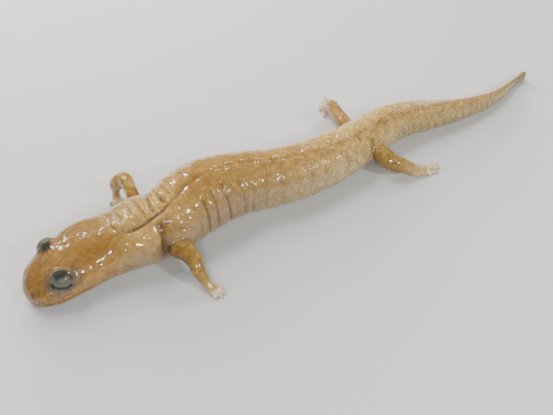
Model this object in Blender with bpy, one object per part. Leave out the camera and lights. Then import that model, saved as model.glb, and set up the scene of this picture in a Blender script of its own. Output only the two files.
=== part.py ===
"""A spring salamander at rest, life size, as a still museum model.

The animal lies along X with its head at -X and its left side at -Y. Its chin, belly, feet and tail
rest on the floor at z = 0. Sizes below are in millimetres, and each point is turned into metres as it
is placed.
"""

import math

import bmesh
import bpy
import numpy as np
from mathutils import Matrix, Vector

MM = 0.001
GAP = 0.3

# The body from snout to tail end: place along X, then the middle's Y, width, height, height of the
# widest line, and fullness of the section (2 is an oval, more is squarer, less is pinched)
STATIONS = (
    (-75.6, -1.95, 12.7, 6.4, 2.8, 2.4),  # snout
    (-68.2, -1.2, 14.4, 8.2, 3.2, 2.4),  # eyes
    (-61.0, -0.1, 16.1, 9.8, 3.9, 2.4),  # jaw corners
    (-55.0, -1.1, 14.9, 11.2, 4.7, 2.3),  # nape
    (-50.0, -1.8, 16.1, 13.0, 5.6, 2.2),  # neck
    (-43.0, -2.5, 15.2, 14.0, 6.2, 2.2),  # shoulders
    (-37.0, -0.8, 16.6, 14.8, 6.6, 2.2),  # chest
    (-32.0, -0.1, 16.5, 15.2, 6.8, 2.2),
    (-25.0, -0.2, 15.2, 14.1, 6.3, 2.2),
    (-14.0, -3.0, 13.5, 12.9, 5.8, 2.2),  # mid trunk
    (-4.0, -3.8, 12.9, 12.2, 5.5, 2.2),
    (5.0, -2.9, 12.3, 11.2, 5.1, 2.2),
    (12.0, -1.5, 11.2, 10.5, 4.9, 2.1),  # hips
    (19.0, -0.1, 10.7, 10.4, 4.9, 2.0),  # vent
    (27.0, -0.1, 8.8, 9.7, 4.7, 1.9),
    (36.0, -2.3, 6.4, 8.6, 4.2, 1.8),
    (46.0, -3.8, 4.5, 6.8, 3.3, 1.7),  # tail, half way
    (56.0, -4.0, 3.1, 5.2, 2.5, 1.7),
    (66.0, -1.7, 2.1, 3.5, 1.7, 1.8),
    (71.0, -0.3, 1.5, 2.6, 1.3, 1.9),  # narrow part before the end
    (75.5, 0.5, 2.1, 3.1, 1.5, 2.0),  # blunt, slightly flared end
)
SNOUT_X = STATIONS[0][0]
TAIL_END_X = STATIONS[-1][0]
BELLY_SINK = 0.35  # how far a full section would reach below the floor, which gives the belly's flat

# How far the line of the back is turned to the left, in degrees, at places along X
BACK_TURN = (
    (-76, 0),
    (-66, 0),
    (-60, 3),
    (-50, 28),
    (-43, 20),
    (-36, 12),
    (-24, 7),
    (-5, 15),
    (5, 18),
    (20, 22),
    (32, 18),
    (46, 0),
    (75.5, 0),
)

# Blunt ends: the length over which the snout or the tail reaches its full size, and the roundness
SNOUT_PLAN = (8.0, 2.4)
SNOUT_TOP = (8.0, 2.0)
SNOUT_CHIN = (3.2, 2.5)
TAIL_TIP = (0.7, 2.5)
SQUARE_HEAD = (-70, -62)  # in front of this the sections stand square to X
ROUND_TIP = (1.0, 2.0)
TIP_FLAT = 0.02  # share of a round tip that stays flat
TIP_CROWDING = 1.6  # how much closer together the rings are at a round tip

# Joints between the lengths of the body
HEAD_END = -53.0
NECK_END = -47.0
FRONT_END = -20.9
MIDDLE_END = -3.5
VENT = 19.0
TAIL_THIRD = 37.0
TAIL_TWO_THIRDS = 56.0

# Grooves of the skin: between the ribs, on the tail, along the back and round the throat
COSTAL_GROOVES = (
    (-39.8, -36.95, -33.7, -30.0, -27.7, -25.3, -22.2, -18.7)
    + (-15.2, -11.8, -8.5, -5.2, -1.9, 1.3, 4.4, 7.4)
)
COSTAL_DEPTH = 0.5
COSTAL_HALF_WIDTH = 0.7
COSTAL_FADE = 0.65  # how much shallower the rear ones are
TAIL_PITCH = 2.9
TAIL_GROOVE_DEPTH = 0.16
NAPE_FOLD_DEPTH = 0.5
SPINE_DEPTH = 0.12
GULAR_DEPTH = 0.6
RING_SPACING = 0.75

# Head
EYE_X = -67.8
EYE_MIDDLE_Y = -0.95
EYE_OFFSET = 4.85
EYE_HEIGHT = 6.1
EYE_RADIUS = 2.4
GAZE = (-0.15, 0.62, 0.77)  # of the right eye: forward, out and up
LID_THICKNESS = 0.45
LID_HEIGHT = 0.95  # of the lids' edge over the middle of the eye, the way it looks
MOUTH_REACH = 12.6
MOUTH_HEIGHT = 2.35
MOUTH_RISE = 0.5  # of the lips under the eyes
MOUTH_DROP = 0.6  # of the lips at the mouth's corner
MOUTH_CUT = 0.35
MOUTH_CUT_DEPTH = 0.85
MOUTH_CORE_BACK = 7.5  # middle of the curve of the lips, back from the snout
NOSTRIL_RADIUS = 0.42
NOSTRIL_BACK = 1.5
NOSTRIL_ANGLE = 43

# Legs: points from inside the body to the wrist or ankle (x, y, z), each with the radius there, or with
# its half width and half height
LEGS = {
    "foreleg_left": (
        (-43.2, -4.8, 6.0, 3.2, 2.5),
        (-43.6, -9.3, 5.6, 3.3, 2.4),
        (-42.9, -12.4, 5.6, 2.1, 2.0),
        (-42.5, -15.0, 5.1, 1.8),
        (-42.6, -17.0, 3.5, 1.5),
        (-42.1, -19.0, 1.9, 1.0),
    ),
    "foreleg_right": (
        (-46.2, 0.2, 5.8, 1.8),
        (-46.6, 5.6, 6.4, 1.6),
        (-46.4, 10.2, 7.4, 1.5),
        (-46.2, 14.0, 7.2, 1.85),
        (-47.7, 16.4, 5.0, 1.8),
        (-48.2, 17.1, 2.2, 1.05),
    ),
    "hindleg_left": (
        (11.3, -2.3, 5.4, 2.4),
        (12.6, -7.6, 5.2, 2.4),
        (13.0, -10.2, 4.7, 2.35),
        (14.2, -12.1, 4.0, 2.2),
        (16.4, -13.5, 3.0, 1.9),
        (18.3, -14.4, 2.1, 1.5),
    ),
    "hindleg_right": (
        (11.1, 0.7, 5.6, 2.1),
        (11.7, 6.0, 5.9, 2.0),
        (12.5, 10.4, 5.8, 1.85),
        (13.9, 14.2, 5.0, 1.85),
        (14.7, 16.2, 3.3, 1.7),
        (14.9, 17.5, 2.2, 1.45),
    ),
}

# Feet: way the foot points in the floor plane (degrees from +X), length and half width of the palm,
# then the toes from the first to the last (way each points, length beyond the palm)
FEET = {
    "forefoot_left": ("foreleg_left", -55, 1.7, 1.15, ((-106, 1.5), (-74, 2.1), (-44, 2.2), (-10, 1.6))),
    "forefoot_right": ("foreleg_right", -110, 1.7, 1.15, ((-62, 1.5), (-94, 2.1), (-125, 2.2), (-159, 1.6))),
    "hindfoot_left": ("hindleg_left", -15, 3.4, 1.8, ((40, 1.5), (0, 4.8), (-13, 4.6), (-34, 3.4), (-54, 1.7))),
    "hindfoot_right": ("hindleg_right", 72, 3.0, 1.6, ((230, 3.1), (165, 0.9), (120, 1.0), (86, 1.6), (54, 4.5))),
}
PALM_HEIGHT = 0.95
ANKLE_LENGTH = 1.3
ANKLE_TAPER = 0.15
HEEL_DROP = 0.4  # how far past the ankle's gap the palm starts
PALM_LEVEL = 0.85  # share of the palm's height at which its middle line runs
TOES_FROM = 0.6  # share of the palm's length that the toes spread from
TOE_ROOT = 0.75  # share of the palm's half width at which a toe starts
TOE_TIP = 0.12  # share of a toe's length over which it rounds off
# Along the palm: share of its length, of its half width and of its height
PALM_PROFILE = ((-0.25, 0.45, 0.5), (0.1, 0.8, 0.9), (0.5, 1.0, 1.0), (0.95, 0.8, 0.7), (1.2, 0.35, 0.35))
# Along a toe: share of its length, height of its middle, and radius
TOE_PROFILE = ((-0.35, 0.62, 0.42), (0.2, 0.72, 0.42), (0.65, 0.5, 0.36), (1.0, 0.3, 0.3))

# Colours (linear red, green, blue) and roughness
COLOURS = {
    "head": ((0.42, 0.24, 0.08), 0.35),
    "neck": ((0.40, 0.25, 0.10), 0.35),
    "torso": ((0.39, 0.27, 0.13), 0.35),
    "tail": ((0.40, 0.29, 0.14), 0.35),
    "leg": ((0.45, 0.29, 0.08), 0.4),
    "foot": ((0.55, 0.42, 0.20), 0.4),
    "eye": ((0.13, 0.17, 0.15), 0.15),
}


class Curve:
    """A smooth curve through rows of values, one row at each place."""

    def __init__(self, places, rows):
        self.places = np.array(places, float)
        self.rows = np.array(rows, float)
        self.slopes = np.gradient(self.rows, self.places, axis=0)

    def at(self, place):
        place = min(max(place, self.places[0]), self.places[-1])
        last = len(self.places) - 2
        k = int(np.clip(np.searchsorted(self.places, place) - 1, 0, last))
        span = self.places[k + 1] - self.places[k]
        t = (place - self.places[k]) / span
        rise = 3 * t**2 - 2 * t**3
        leave = (t**3 - 2 * t**2 + t) * span
        arrive = (t**3 - t**2) * span
        start, stop = self.rows[k], self.rows[k + 1]
        return start + (stop - start) * rise + self.slopes[k] * leave + self.slopes[k + 1] * arrive

    def slope(self, place, step=0.05):
        before = max(place - step, self.places[0])
        after = min(place + step, self.places[-1])
        return (self.at(after) - self.at(before)) / (after - before)


BODY = Curve([row[0] for row in STATIONS], [row[1:] for row in STATIONS])
TURN = Curve([row[0] for row in BACK_TURN], [row[1:] for row in BACK_TURN])


def step_up(low, high, value):
    """0 below low, 1 above high, and a smooth rise between them."""
    t = min(max((value - low) / (high - low), 0.0), 1.0)
    return t * t * (3 - 2 * t)


def blunt(distance, end):
    """The share of its full size that a blunt end has at a distance from its tip."""
    length, roundness = end
    if distance >= length:
        return 1.0
    return (1 - (1 - max(distance, 0.0) / length) ** roundness) ** (1 / roundness)


def hump(distance, half_width):
    """1 at no distance, falling away to nothing on both sides."""
    return math.exp(-((distance / half_width) ** 2))


def groove_depth(x, from_back):
    """How deep the skin's grooves are at x, at an angle in degrees from the line of the back."""
    side = abs(from_back)
    fold = NAPE_FOLD_DEPTH * step_up(-53, -50, x) * (1 - step_up(-43, -38, x))
    furrow = SPINE_DEPTH * step_up(-42, -34, x) * (1 - step_up(24, 40, x))
    back = (fold + furrow) * hump(from_back, 11)
    nearest = min(abs(x - groove) for groove in COSTAL_GROOVES)
    fade = 1 - COSTAL_FADE * step_up(-31, -16, x)
    ribs = COSTAL_DEPTH * fade * hump(nearest, COSTAL_HALF_WIDTH)
    tail = step_up(VENT - 3, VENT, x) * (1 - step_up(44, 58, x))
    wave = max(0.0, math.cos(2 * math.pi * (x - VENT) / TAIL_PITCH)) ** 2
    flank = step_up(24, 42, side) * (1 - step_up(140, 160, side))
    throat = GULAR_DEPTH * hump(x - NECK_END, 0.8) * step_up(45, 75, side)
    return back + flank * (ribs + wave * TAIL_GROOVE_DEPTH * tail) + throat


def body_point(x, angle, grow=0.0):
    """The skin at x, at an angle round the section: 0 is right, 90 degrees is up.

    A grown body has no grooves and no belly flat.
    """
    middle, width, height, level, fullness = BODY.at(x)
    turned = angle + math.radians(TURN.at(x)[0]) * max(0.0, math.sin(angle))
    side, rise = math.cos(turned), math.sin(turned)
    nose = x - SNOUT_X
    tip = blunt(TAIL_END_X - x, TAIL_TIP)
    across = math.copysign(abs(side) ** (2 / fullness), side) * width / 2 * blunt(nose, SNOUT_PLAN) * tip
    if rise >= 0:
        up = rise ** (2 / fullness) * (height - level) * blunt(nose, SNOUT_TOP) * tip
    else:
        up = -(abs(rise) ** (2 / fullness)) * (level + BELLY_SINK) * blunt(nose, SNOUT_CHIN) * tip
    change = grow or -groove_depth(x, math.degrees(angle) - 90)
    scale = 1 + change / math.hypot(across, up)
    floor = -1.0 if grow else 0.0
    slope = BODY.slope(x)[0] * step_up(*SQUARE_HEAD, x)
    out = Vector((-slope, 1.0, 0.0)).normalized()
    point = Vector((x, middle, max(level + up * scale, floor))) + out * across * scale
    return point * MM


def material(kind):
    """The finish of a kind of body part."""
    if kind in bpy.data.materials:
        return bpy.data.materials[kind]
    colour, roughness = COLOURS[kind]
    finish = bpy.data.materials.new(kind)
    finish.use_nodes = True
    shader = finish.node_tree.nodes["Principled BSDF"]
    shader.inputs["Base Color"].default_value = (*colour, 1.0)
    shader.inputs["Roughness"].default_value = roughness
    shader.inputs["Metallic"].default_value = 0.0
    return finish


def add_object(name, bm, kind=None):
    """Puts a bmesh in the scene as a smooth shaded object, or as a hidden helper with no kind."""
    bmesh.ops.recalc_face_normals(bm, faces=bm.faces)
    if bm.calc_volume(signed=True) < 0:
        bmesh.ops.reverse_faces(bm, faces=bm.faces)
    mesh = bpy.data.meshes.new(name)
    bm.to_mesh(mesh)
    bm.free()
    mesh.shade_smooth()
    obj = bpy.data.objects.new(name, mesh)
    bpy.context.scene.collection.objects.link(obj)
    if kind:
        mesh.materials.append(material(kind))
    else:
        obj.hide_render = True
        obj.display_type = "WIRE"
    return obj


def tube(rings, sides, place):
    """A closed tube: a cylinder cut into rings, with place(ring, angle) giving each of its points."""
    bm = bmesh.new()
    bmesh.ops.create_cone(bm, cap_ends=True, segments=sides, radius1=1, radius2=1, depth=1)
    lengthwise = [e for e in bm.edges if abs(e.verts[0].co.z - e.verts[1].co.z) > 0.5]
    bmesh.ops.subdivide_edges(bm, edges=lengthwise, cuts=rings - 2, use_grid_fill=True)
    for vert in bm.verts:
        ring = round((vert.co.z + 0.5) * (rings - 1))
        vert.co = place(ring, math.atan2(vert.co.y, vert.co.x))
    return bm


def body_length(name, places, sides, kind):
    """One length of the body, with a ring at each place along X."""
    bm = tube(len(places), sides, lambda ring, angle: body_point(places[ring], angle))
    return add_object(name, bm, kind)


def spaced(start, stop, spacing):
    """Places from start to stop, short of each by half a gap, about a spacing apart."""
    count = max(2, round((stop - start) / spacing) + 1)
    return np.linspace(start + GAP / 2, stop - GAP / 2, count)


def swept(points, sides, rings, tip=0.0):
    """A tube along a smooth curve through points (x, y, z, radius or half width, optional half height).

    tip is the share of its length over which it rounds off to its far end.
    """
    rows = [row if len(row) == 5 else (*row, row[3]) for row in points]
    path = Curve(range(len(rows)), rows)
    last = len(rows) - 1

    def place(ring, angle):
        share = ring / (rings - 1)
        if tip:
            share = 1 - (1 - share) ** TIP_CROWDING
        here = path.at(share * last)
        ahead = Vector(path.slope(share * last)[:3]).normalized()
        out = ahead.cross(Vector((0, 0, 1))).normalized()
        up = out.cross(ahead).normalized()
        size = blunt((1 - share) / tip + TIP_FLAT, ROUND_TIP) if tip else 1.0
        point = Vector(here[:3]) + (out * math.cos(angle) * here[3] + up * math.sin(angle) * here[4]) * size
        return point * MM

    return tube(rings, sides, place)


def apply_modifiers(obj):
    """Turns an object's modifiers into its own mesh."""
    graph = bpy.context.evaluated_depsgraph_get()
    baked = bpy.data.meshes.new_from_object(obj.evaluated_get(graph))
    obj.modifiers.clear()
    plain = obj.data
    obj.data = baked
    bpy.data.meshes.remove(plain)


def remove_object(obj):
    mesh = obj.data
    bpy.data.objects.remove(obj)
    bpy.data.meshes.remove(mesh)


def combine(obj, others, operation, solver="EXACT"):
    """Joins the other solids to an object, or cuts them from it, and removes them."""
    group = bpy.data.collections.new("pieces")
    for other in others:
        group.objects.link(other)
    boolean = obj.modifiers.new(operation, "BOOLEAN")
    boolean.operation = operation
    boolean.operand_type = "COLLECTION"
    boolean.collection = group
    boolean.solver = solver
    apply_modifiers(obj)
    for other in others:
        remove_object(other)
    bpy.data.collections.remove(group)


def keep_largest_surface(obj):
    """Drops every closed surface of an object but its largest."""
    bm = bmesh.new()
    bm.from_mesh(obj.data)
    unseen = set(bm.verts)
    surfaces = []
    while unseen:
        edge_of_search = [unseen.pop()]
        surface = []
        while edge_of_search:
            vert = edge_of_search.pop()
            surface.append(vert)
            near = [e.other_vert(vert) for e in vert.link_edges]
            fresh = [v for v in near if v in unseen]
            unseen.difference_update(fresh)
            edge_of_search.extend(fresh)
        surfaces.append(surface)
    surfaces.sort(key=len)
    for surface in surfaces[:-1]:
        bmesh.ops.delete(bm, geom=surface, context="VERTS")
    bm.to_mesh(obj.data)
    bm.free()


def floor_cutter():
    """Everything under the floor."""
    bm = bmesh.new()
    bmesh.ops.create_cube(bm, size=1)
    bmesh.ops.scale(bm, vec=(200 * MM, 120 * MM, 20 * MM), verts=bm.verts)
    bmesh.ops.translate(bm, vec=(0, 0, -10 * MM), verts=bm.verts)
    return add_object("under_floor", bm)


def trunk_cutter():
    """The trunk, larger by the gap, which the roots of the legs are cut to."""
    places = spaced(-54.0, 26.0, 1.5)
    bm = tube(len(places), 32, lambda ring, angle: body_point(places[ring], angle, GAP))
    return add_object("trunk_room", bm)


def gaze(right):
    """The way an eye looks: out, up and a little forward."""
    forward, out, up = GAZE
    return Vector((forward, out if right else -out, up)).normalized()


def eye_middle(right):
    offset = EYE_OFFSET if right else -EYE_OFFSET
    return Vector((EYE_X, EYE_MIDDLE_Y + offset, EYE_HEIGHT))


def ball(middle, radius, segments, rings, way=Vector((0, 0, 1))):
    """A sphere with its pole along a given way."""
    bm = bmesh.new()
    turn = way.to_track_quat("Z", "Y").to_matrix().to_4x4()
    at = Matrix.Translation(middle * MM) @ turn
    bmesh.ops.create_uvsphere(bm, u_segments=segments, v_segments=rings, radius=radius * MM, matrix=at)
    return bm


def lids(right):
    """The lids: a bulge of the head round the eye, cut off flat where it opens."""
    way = gaze(right)
    turn = way.to_track_quat("Z", "Y").to_matrix().to_4x4()
    bm = bmesh.new()
    radius = EYE_RADIUS + GAP + LID_THICKNESS
    bmesh.ops.create_uvsphere(bm, u_segments=20, v_segments=12, radius=radius * MM)
    for vert in bm.verts:
        vert.co.z = min(vert.co.z, LID_HEIGHT * MM)
    bmesh.ops.transform(bm, matrix=Matrix.Translation(eye_middle(right) * MM) @ turn, verts=bm.verts)
    return add_object("lids", bm)


def mouth_line():
    """A thin strip round the jaw that cuts the line between the lips."""
    core = Vector((SNOUT_X + MOUTH_CORE_BACK, BODY.at(SNOUT_X)[0], 0))
    rings = 31

    def place(ring, angle):
        share = 2 * ring / (rings - 1) - 1
        x = SNOUT_X + 0.02 + MOUTH_REACH * abs(share) ** 2.2
        lip = body_point(x, 0 if share > 0 else math.pi) / MM
        lip.z = 0
        middle = Vector((max(x, core.x), core.y if x < core.x else BODY.at(x)[0], 0))
        out = (lip - middle).normalized()
        nose = x - SNOUT_X
        height = MOUTH_HEIGHT + MOUTH_RISE * step_up(3, 10, nose) - MOUTH_DROP * step_up(10, 13, nose)
        shallower = 1 - 0.6 * abs(share) ** 6
        point = lip + out * MOUTH_CUT_DEPTH * shallower * math.copysign(1, math.cos(angle))
        point.z = height + MOUTH_CUT / 2 * math.copysign(1, math.sin(angle))
        return point * MM

    bm = tube(rings, 4, lambda ring, angle: place(ring, angle + math.pi / 4))
    return add_object("mouth_line", bm)


def nostril(right):
    angle = math.radians(NOSTRIL_ANGLE if right else 180 - NOSTRIL_ANGLE)
    middle = body_point(SNOUT_X + NOSTRIL_BACK, angle) / MM
    return add_object("nostril", ball(middle, NOSTRIL_RADIUS, 8, 6))


def make_head():
    """Head and jaws in one piece, with lids, sockets, nostrils and the line of the mouth."""
    snout_length = SNOUT_PLAN[0]
    rounds = [SNOUT_X + snout_length * (1 - math.cos(math.radians(a))) for a in np.linspace(6, 80, 8)]
    places = np.concatenate([rounds, spaced(rounds[-1] + 1.3, HEAD_END, 1.6)])
    head = body_length("head", places, 32, "head")
    combine(head, [lids(False), lids(True)], "UNION", "MANIFOLD")
    cutters = [mouth_line(), nostril(False), nostril(True)]
    for right in (False, True):
        room = ball(eye_middle(right), EYE_RADIUS + GAP, 18, 10, gaze(right))
        cutters.append(add_object("socket", room))
    combine(head, cutters, "DIFFERENCE", "MANIFOLD")
    keep_largest_surface(head)


def make_eyes():
    for name, right in (("eye_left", False), ("eye_right", True)):
        add_object(name, ball(eye_middle(right), EYE_RADIUS, 18, 10, gaze(right)), "eye")


def make_body():
    """Neck, three lengths of trunk and three of tail."""
    body_length("neck", spaced(HEAD_END, NECK_END, RING_SPACING), 28, "neck")
    body_length("torso_front", spaced(NECK_END, FRONT_END, RING_SPACING), 24, "torso")
    body_length("torso_middle", spaced(FRONT_END, MIDDLE_END, RING_SPACING), 24, "torso")
    body_length("torso_rear", spaced(MIDDLE_END, VENT, RING_SPACING), 24, "torso")
    half = TAIL_PITCH / 2
    body_length("tail_base", spaced(VENT, TAIL_THIRD, half), 20, "tail")
    body_length("tail_middle", spaced(TAIL_THIRD, TAIL_TWO_THIRDS, half), 16, "tail")
    ends = spaced(TAIL_TWO_THIRDS, TAIL_END_X - 1.2, half)
    tip = [TAIL_END_X - 0.75, TAIL_END_X - 0.4, TAIL_END_X - 0.15, TAIL_END_X - 0.02]
    body_length("tail_tip", np.concatenate([ends, tip]), 12, "tail")


def make_legs():
    """Each leg, with its root cut to the trunk."""
    for name, points in LEGS.items():
        leg = add_object(name, swept(points, 12, 14), "leg")
        combine(leg, [trunk_cutter()], "DIFFERENCE")
        keep_largest_surface(leg)


def toe(base, way, length):
    """A thin toe, arched a little, with its tip on the floor."""
    ahead = Vector((math.cos(math.radians(way)), math.sin(math.radians(way)), 0))
    points = []
    for share, height, radius in TOE_PROFILE:
        point = base + ahead * length * share
        points.append((point.x, point.y, height, radius))
    return add_object("toe", swept(points, 6, 6, TOE_TIP))


def ankle(start, way, radius):
    """The stub between the gap of the wrist or ankle and the palm."""
    length = min(ANKLE_LENGTH, (start.z - PALM_HEIGHT / 2) / -way.z)
    points = []
    for share in (0.0, 0.5, 1.0):
        point = start + way * length * share
        points.append((*point, radius * (1 - ANKLE_TAPER * share)))
    return add_object("ankle", swept(points, 12, 4))


def palm(heel, ahead, length, half_width):
    """A low rounded pad, from behind the heel to the roots of the toes."""
    points = []
    for share, wide, height in PALM_PROFILE:
        point = heel + ahead * length * share
        level = PALM_HEIGHT * PALM_LEVEL
        points.append((point.x, point.y, level, half_width * wide, PALM_HEIGHT * height))
    return swept(points, 12, 9)


def make_feet():
    """Each foot: ankle, palm and toes in one piece, and the flat it stands on."""
    for name, (leg, way, length, half_width, toes) in FEET.items():
        before, joint = (Vector(row[:3]) for row in LEGS[leg][-2:])
        down = (joint - before).normalized()
        start = joint + down * GAP
        ahead = Vector((math.cos(math.radians(way)), math.sin(math.radians(way)), 0))
        heel = start + down * HEEL_DROP
        middle = Vector((heel.x, heel.y, 0)) + ahead * length * TOES_FROM
        foot = add_object(name, palm(heel, ahead, length, half_width), "foot")
        pieces = [ankle(start, down, LEGS[leg][-1][3])]
        for toe_way, toe_length in toes:
            toward = Vector((math.cos(math.radians(toe_way)), math.sin(math.radians(toe_way)), 0))
            pieces.append(toe(middle + toward * half_width * TOE_ROOT, toe_way, toe_length))
        combine(foot, pieces, "UNION")
        combine(foot, [floor_cutter()], "DIFFERENCE")
        keep_largest_surface(foot)


def clear_scene():
    for obj in list(bpy.data.objects):
        bpy.data.objects.remove(obj)


clear_scene()
make_head()
make_eyes()
make_body()
make_legs()
make_feet()
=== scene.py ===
"""The looks of a spring salamander lying on its belly, a still life-size model.

One skin covers the head, neck, trunk, tail, legs and feet, and the two eyes are pieces of their own.
Lengths below are in millimetres where a piece is shaped, and its points are turned into metres last.
"""

import math

import bmesh
import bpy
import numpy as np
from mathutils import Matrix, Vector, noise


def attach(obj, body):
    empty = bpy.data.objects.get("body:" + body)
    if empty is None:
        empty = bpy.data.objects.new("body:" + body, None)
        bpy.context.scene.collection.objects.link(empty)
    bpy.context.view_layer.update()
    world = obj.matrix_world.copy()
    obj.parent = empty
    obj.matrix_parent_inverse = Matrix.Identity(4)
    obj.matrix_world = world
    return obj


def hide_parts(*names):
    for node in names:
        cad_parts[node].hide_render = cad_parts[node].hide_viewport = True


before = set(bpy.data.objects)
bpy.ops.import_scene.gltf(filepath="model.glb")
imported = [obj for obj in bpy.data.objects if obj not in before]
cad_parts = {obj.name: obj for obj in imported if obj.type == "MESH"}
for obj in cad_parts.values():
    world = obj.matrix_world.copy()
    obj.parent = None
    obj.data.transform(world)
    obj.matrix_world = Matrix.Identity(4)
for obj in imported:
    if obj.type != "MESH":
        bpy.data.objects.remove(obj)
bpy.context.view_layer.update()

MM = 0.001

# Camera: looks down on the animal's left side from ahead of it, from where the photo was taken.
LOOK_AT = Vector((-16.9, -6.4, 0.0)) * MM
CAMERA_WAY = Vector((-0.3651, -0.5910, 0.7193))
CAMERA_DISTANCE = 145 * MM
CAMERA_LENS = 39.06
CAMERA_SENSOR = 36.0
CAMERA_NEAR = 10 * MM
CAMERA_FAR = 10.0

view = bpy.data.cameras.new("camera")
view.lens = CAMERA_LENS
view.sensor_width = CAMERA_SENSOR
view.clip_start = CAMERA_NEAR
view.clip_end = CAMERA_FAR
camera = bpy.data.objects.new("camera", view)
camera.location = LOOK_AT + CAMERA_WAY * CAMERA_DISTANCE
camera.rotation_euler = CAMERA_WAY.to_track_quat("Z", "Y").to_euler()
bpy.context.scene.collection.objects.link(camera)
bpy.context.scene.camera = camera


# Studio: a plain pale floor, matt, which the animal lies on. Soft panels hang over it and behind it,
# with a few small lamps that give the wet skin its points of light.
FLOOR_SIZE = 6.0
FLOOR_COLOUR = (0.56, 0.57, 0.58, 1.0)
FLOOR_ROUGHNESS = 0.75
SKY_COLOUR = (0.90, 0.94, 1.0, 1.0)
SKY_LIGHT = 0.15
WARM = (1.0, 0.96, 0.88)
PANELS = (
    # name, where it hangs (mm), size (mm), strength (W), colour
    ("key_panel", (-120, 200, 420), (240, 160), 1.5, (1.0, 0.96, 0.90)),
    ("fill_panel", (-180, -320, 320), (300, 300), 0.75, (0.96, 0.98, 1.0)),
    ("rear_panel", (260, 160, 260), (200, 120), 0.65, (1.0, 0.97, 0.92)),
    ("far_panel", (10, 360, 150), (220, 120), 2.3, (1.0, 0.96, 0.90)),
)
SMALL_LAMPS = (
    # the same, for the lamps that the wet skin mirrors
    ("small_lamp_side", (101, -254, 200), (40, 36), 0.60, WARM),
    ("small_lamp_head", (-150, 247, 190), (9, 90), 0.20, WARM),
    ("small_lamp_nape", (-60, 240, 237), (16, 50), 0.26, WARM),
    ("small_lamp_neck", (-150, -258, 200), (36, 26), 0.32, WARM),
    ("small_lamp_rear", (185, 205, 257), (20, 20), 0.06, WARM),
)


def add_piece(name, bm):
    """Puts a bmesh in the scene as a smooth shaded object at the origin."""
    bmesh.ops.recalc_face_normals(bm, faces=bm.faces)
    if bm.calc_volume(signed=True) < 0:
        bmesh.ops.reverse_faces(bm, faces=bm.faces)
    mesh = bpy.data.meshes.new(name)
    bm.to_mesh(mesh)
    bm.free()
    mesh.shade_smooth()
    piece = bpy.data.objects.new(name, mesh)
    bpy.context.scene.collection.objects.link(piece)
    return piece


floor_finish = bpy.data.materials.new("floor")
floor_finish.use_nodes = True
shader = floor_finish.node_tree.nodes["Principled BSDF"]
shader.inputs["Base Color"].default_value = FLOOR_COLOUR
shader.inputs["Roughness"].default_value = FLOOR_ROUGHNESS
floor_shape = bmesh.new()
bmesh.ops.create_grid(floor_shape, x_segments=1, y_segments=1, size=FLOOR_SIZE / 2)
floor = add_piece("floor", floor_shape)
floor.data.materials.append(floor_finish)

for lamp_name, place, size, power, colour in PANELS + SMALL_LAMPS:
    lamp = bpy.data.lights.new(lamp_name, "AREA")
    lamp.shape = "RECTANGLE"
    lamp.size = size[0] * MM
    lamp.size_y = size[1] * MM
    lamp.energy = power
    lamp.color = colour
    holder = bpy.data.objects.new(lamp_name, lamp)
    holder.location = Vector(place) * MM
    holder.rotation_euler = (Vector(place) * MM - LOOK_AT).to_track_quat("Z", "Y").to_euler()
    holder.visible_glossy = lamp_name.startswith("small_lamp")
    bpy.context.scene.collection.objects.link(holder)

world = bpy.data.worlds.new("studio")
world.use_nodes = True
world.node_tree.nodes["Background"].inputs["Color"].default_value = SKY_COLOUR
world.node_tree.nodes["Background"].inputs["Strength"].default_value = SKY_LIGHT
bpy.context.scene.world = world


# Body: the flesh of the head, neck, trunk and tail, one long smooth form from snout to tail end.
# It is highest behind the shoulders, bends to its left at the neck, the trunk and the tail, and lies on
# its belly.
STATIONS = (
    # place along X, middle's Y, width, height, height of the widest line, fullness of the section
    (-75.6, -1.95, 12.7, 6.4, 2.8, 2.4),
    (-68.2, -1.2, 14.4, 8.2, 3.2, 2.4),
    (-61.0, -0.1, 16.1, 9.8, 3.9, 2.4),
    (-55.0, -1.1, 14.9, 11.2, 4.7, 2.3),
    (-50.0, -1.8, 16.1, 13.0, 5.6, 2.2),
    (-43.0, -2.5, 15.2, 14.0, 6.2, 2.2),
    (-37.0, -0.8, 16.6, 14.8, 6.6, 2.2),
    (-32.0, -0.1, 16.5, 15.2, 6.8, 2.2),
    (-25.0, -0.2, 15.2, 14.1, 6.3, 2.2),
    (-14.0, -3.0, 13.5, 12.9, 5.8, 2.2),
    (-4.0, -3.8, 12.9, 12.2, 5.5, 2.2),
    (5.0, -2.9, 12.3, 11.2, 5.1, 2.2),
    (12.0, -1.5, 11.2, 10.5, 4.9, 2.1),
    (19.0, -0.1, 10.7, 10.4, 4.9, 2.0),
    (27.0, -0.1, 8.8, 9.7, 4.7, 1.9),
    (36.0, -2.3, 6.4, 8.6, 4.2, 1.8),
    (46.0, -3.8, 4.5, 6.8, 3.3, 1.7),
    (56.0, -4.0, 3.1, 5.2, 2.5, 1.7),
    (66.0, -1.7, 2.1, 3.5, 1.7, 1.8),
    (71.0, -0.3, 1.5, 2.6, 1.3, 1.9),
    (75.5, 0.5, 2.1, 3.1, 1.5, 2.0),
)
BACK_TURN = (
    # place along X, and how far the line of the back is turned to the left there, in degrees
    (-76, 0),
    (-66, 0),
    (-60, 3),
    (-50, 28),
    (-43, 20),
    (-36, 12),
    (-24, 7),
    (-5, 15),
    (5, 18),
    (20, 22),
    (32, 18),
    (46, 0),
    (75.5, 0),
)
SNOUT_X = STATIONS[0][0]
TAIL_END_X = STATIONS[-1][0]
BELLY_SINK = 0.35  # how far the form reaches under the floor, which cuts its flats
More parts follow.
